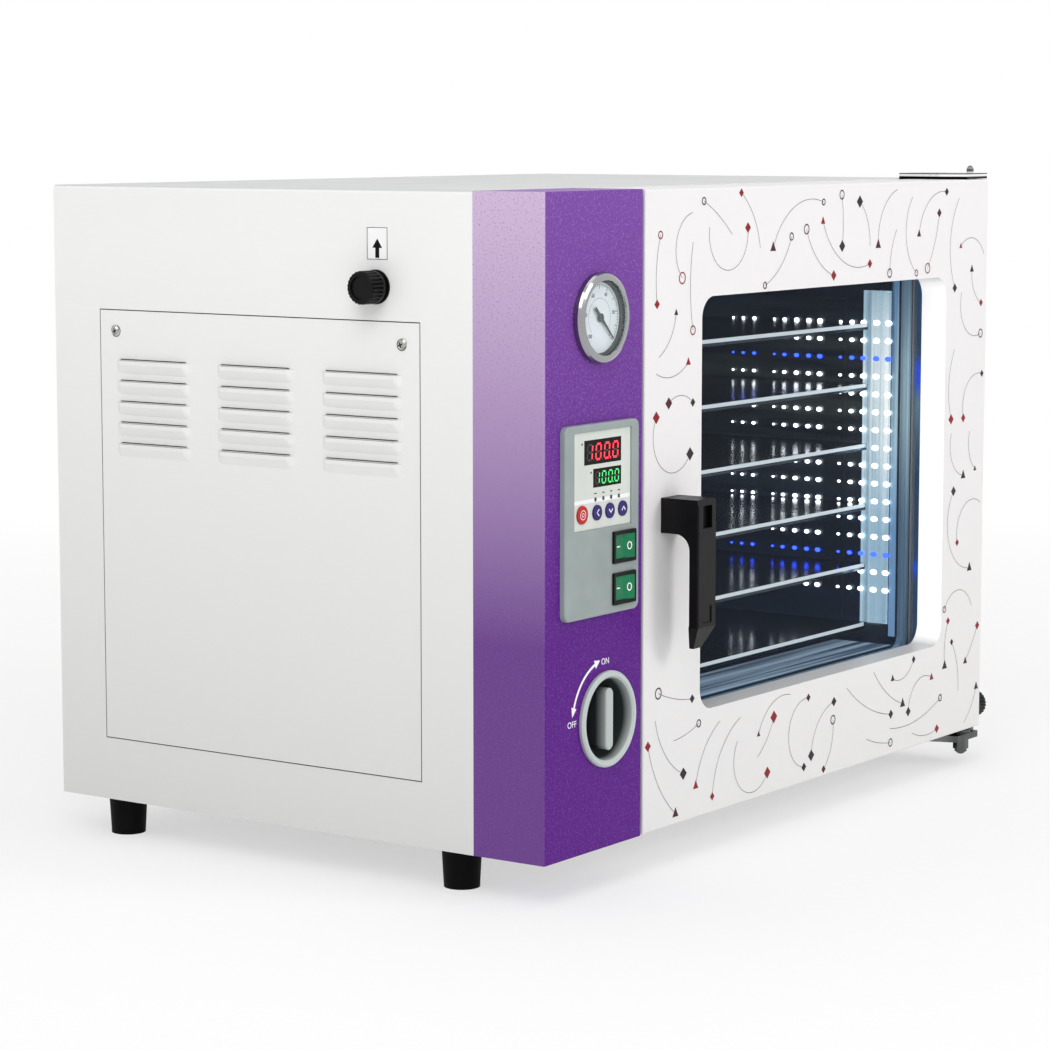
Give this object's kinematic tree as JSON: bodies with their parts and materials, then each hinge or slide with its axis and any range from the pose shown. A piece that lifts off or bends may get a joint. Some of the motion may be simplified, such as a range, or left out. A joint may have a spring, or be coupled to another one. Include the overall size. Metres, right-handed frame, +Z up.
{
  "type": "vacuum oven",
  "caption": "Bench vacuum oven: shelved steel chamber behind a thick glazed door, a control column on the left with gauge, controller and valve, and a louvred side access panel.",
  "frame": {"origin": "on the bench surface under the middle of the cabinet's footprint", "axes": "+X to the right of someone facing the door, +Y to the back, +Z up"},
  "size_m": [0.7721, 0.5731, 0.5579],
  "materials": {
    "white_coat": "smooth white powder coat",
    "purple_coat": "textured purple powder coat",
    "stainless": "brushed",
    "polished_steel": "polished",
    "zinc_steel": "zinc plated",
    "black_plastic": "matt moulded black",
    "black_rubber": "matt black",
    "silicone": "translucent grey silicone",
    "clear_glass": "clear",
    "clear_plastic": "clear extrusion",
    "light_board": "white board",
    "grey_plastic": "satin blue-grey",
    "pale_plastic": "satin off-white",
    "display_plastic": "dark tinted",
    "green_plastic": "green",
    "red_plastic": "red",
    "blue_plastic": "blue",
    "gauge_white": "white printed dial",
    "gauge_black": "black",
    "brass": "machined",
    "heater_foil": "foil faced",
    "mineral_wool": "fibrous"
  },
  "bodies": {
    "cabinet": {"outer_shell": "white_coat", "base_pan": "white_coat", "back_cover": "white_coat", "side_access_panel": "white_coat", "front_bulkhead": "white_coat", "control_column": "purple_coat", "chamber": "stainless", "shelf_racks": "stainless", "vacuum_port": "stainless", "shelf_1": "stainless", "shelf_2": "stainless", "shelf_3": "stainless", "shelf_4": "stainless", "shelf_5": "stainless", "shelf_6": "stainless", "upper_hinge_bracket": "polished_steel", "lower_hinge_bracket": "polished_steel", "hinge_pins": "polished_steel", "gauge_bezel": "polished_steel", "fasteners": "zinc_steel", "chamber_stands": "zinc_steel", "vacuum_pipes": "zinc_steel", "vent_valve_body": "black_plastic", "switch_housings": "black_plastic", "power_inlet": "black_plastic", "rubber_feet": "black_rubber", "door_gasket": "silicone", "gauge_glass": "clear_glass", "light_covers": "clear_plastic", "light_boards": "light_board", "controller_bezel": "grey_plastic", "valve_cup": "grey_plastic", "controller_module": "pale_plastic", "display_windows": "display_plastic", "gauge_dial": "gauge_white", "gauge_case": "gauge_black", "valve_body": "brass", "heater_plates": "heater_foil", "insulation": "mineral_wool"},
    "door": {"door_outer_pan": "white_coat", "door_inner_pan": "white_coat", "door_glass": "clear_glass", "glass_seal": "black_rubber", "door_blocks": "zinc_steel", "door_bushings": "brass"},
    "handle": {"handle_grip": "black_plastic", "handle_screw_cover": "black_plastic", "handle_spindle": "stainless", "latch_tongue": "stainless"},
    "light_rocker": {"light_rocker": "green_plastic"},
    "power_rocker": {"power_rocker": "green_plastic"},
    "key_power": {"key_power": "red_plastic"},
    "key_left": {"key_left": "blue_plastic"},
    "key_down": {"key_down": "blue_plastic"},
    "key_up": {"key_up": "blue_plastic"},
    "valve_grip": {"valve_grip": "grey_plastic"},
    "vent_knob": {"vent_knob": "black_plastic"},
    "thumb_knob": {"hinge_thumb_knob": "black_plastic"},
    "pointer": {"gauge_pointer": "gauge_black"}
  },
  "joints": [
    {"name": "door_swing", "type": "hinge", "parent": "cabinet", "child": "door", "pos_m": [0.344, -0.23675, 0.29], "axis": [0, 0, 1], "range_deg": [0, 110]},
    {"name": "handle_turn", "type": "hinge", "parent": "door", "child": "handle", "pos_m": [-0.1845, -0.24775, 0.288], "axis": [0, -1, 0], "range_deg": [0, 90]},
    {"name": "light_switch", "type": "hinge", "parent": "cabinet", "child": "light_rocker", "pos_m": [-0.2594, -0.24975, 0.2705], "axis": [0, 0, 1], "range_deg": [0, 16]},
    {"name": "power_switch", "type": "hinge", "parent": "cabinet", "child": "power_rocker", "pos_m": [-0.2594, -0.24975, 0.238], "axis": [0, 0, 1], "range_deg": [0, 16]},
    {"name": "key_power_press", "type": "slide", "parent": "cabinet", "child": "key_power", "axis": [0, 1, 0], "range_m": [0, 0.0008], "stiffness_N_per_m": 300},
    {"name": "key_left_press", "type": "slide", "parent": "cabinet", "child": "key_left", "axis": [0, 1, 0], "range_m": [0, 0.0008], "stiffness_N_per_m": 300},
    {"name": "key_down_press", "type": "slide", "parent": "cabinet", "child": "key_down", "axis": [0, 1, 0], "range_m": [0, 0.0008], "stiffness_N_per_m": 300},
    {"name": "key_up_press", "type": "slide", "parent": "cabinet", "child": "key_up", "axis": [0, 1, 0], "range_m": [0, 0.0008], "stiffness_N_per_m": 300},
    {"name": "valve_turn", "type": "hinge", "parent": "cabinet", "child": "valve_grip", "pos_m": [-0.275, -0.24775, 0.136], "axis": [0, -1, 0], "range_deg": [0, 90]},
    {"name": "vent_turn", "type": "hinge", "parent": "cabinet", "child": "vent_knob", "pos_m": [-0.36, -0.08925, 0.471], "axis": [-1, 0, 0], "range_deg": [0, 340]},
    {"name": "thumb_turn", "type": "hinge", "parent": "cabinet", "child": "thumb_knob", "pos_m": [0.36, -0.22575, 0.049], "axis": [1, 0, 0], "range_deg": [0, 340]},
    {"name": "pointer_turn", "type": "hinge", "parent": "cabinet", "child": "pointer", "pos_m": [-0.287, -0.24775, 0.449], "axis": [0, -1, 0], "range_deg": [0, 270]}
  ]
}
